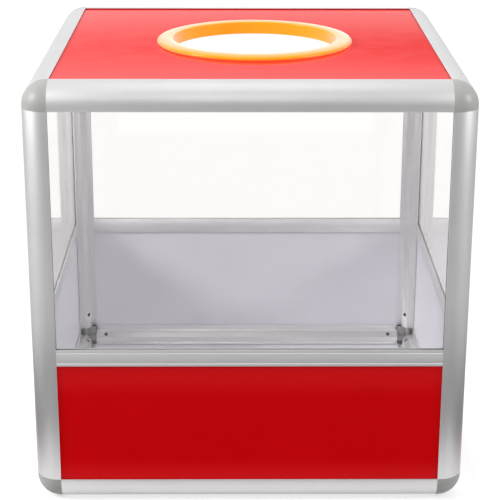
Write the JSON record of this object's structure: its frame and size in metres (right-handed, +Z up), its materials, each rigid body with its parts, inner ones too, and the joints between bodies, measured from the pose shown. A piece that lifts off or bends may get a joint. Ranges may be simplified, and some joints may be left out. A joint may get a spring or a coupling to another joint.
{
  "type": "raffle box",
  "caption": "Square draw box with an aluminium bar frame, clear upper sides, red lower sides and top, and a round hand hole lined with an orange ring.",
  "frame": {"origin": "on the ground plane under the middle of the box", "axes": "+X to the right seen from the front, +Y to the back, +Z up"},
  "size_m": [0.4, 0.4, 0.4036],
  "materials": {
    "bar_aluminium": "satin anodised extrusion",
    "corner_grey": "moulded grey plastic",
    "clear_sheet": "clear polished acrylic",
    "red_sheet": "glossy red outside, pale lavender grey inside",
    "orange_plastic": "glossy moulded plastic",
    "screw_steel": "dark zinc"
  },
  "bodies": {
    "box": {"post_front_left": "bar_aluminium", "post_front_right": "bar_aluminium", "post_rear_left": "bar_aluminium", "post_rear_right": "bar_aluminium", "bottom_rail_front": "bar_aluminium", "bottom_rail_rear": "bar_aluminium", "bottom_rail_left": "bar_aluminium", "bottom_rail_right": "bar_aluminium", "top_rail_front": "bar_aluminium", "top_rail_rear": "bar_aluminium", "top_rail_left": "bar_aluminium", "top_rail_right": "bar_aluminium", "mid_rail_front": "bar_aluminium", "mid_rail_rear": "bar_aluminium", "mid_rail_left": "bar_aluminium", "mid_rail_right": "bar_aluminium", "corner_bottom_front_left": "corner_grey", "corner_bottom_front_right": "corner_grey", "corner_bottom_rear_left": "corner_grey", "corner_bottom_rear_right": "corner_grey", "corner_top_front_left": "corner_grey", "corner_top_front_right": "corner_grey", "corner_top_rear_left": "corner_grey", "corner_top_rear_right": "corner_grey", "window_front": "clear_sheet", "window_rear": "clear_sheet", "window_left": "clear_sheet", "window_right": "clear_sheet", "lower_panel_front": "red_sheet", "lower_panel_rear": "red_sheet", "lower_panel_left": "red_sheet", "lower_panel_right": "red_sheet", "top_panel": "red_sheet", "floor_panel": "red_sheet", "set_screws": "screw_steel"},
    "ring": {"hand_ring": "orange_plastic"}
  },
  "joints": [
    {"name": "ring_lift", "type": "slide", "parent": "box", "child": "ring", "axis": [0, 0, 1], "range_m": [0, 0.02]}
  ]
}
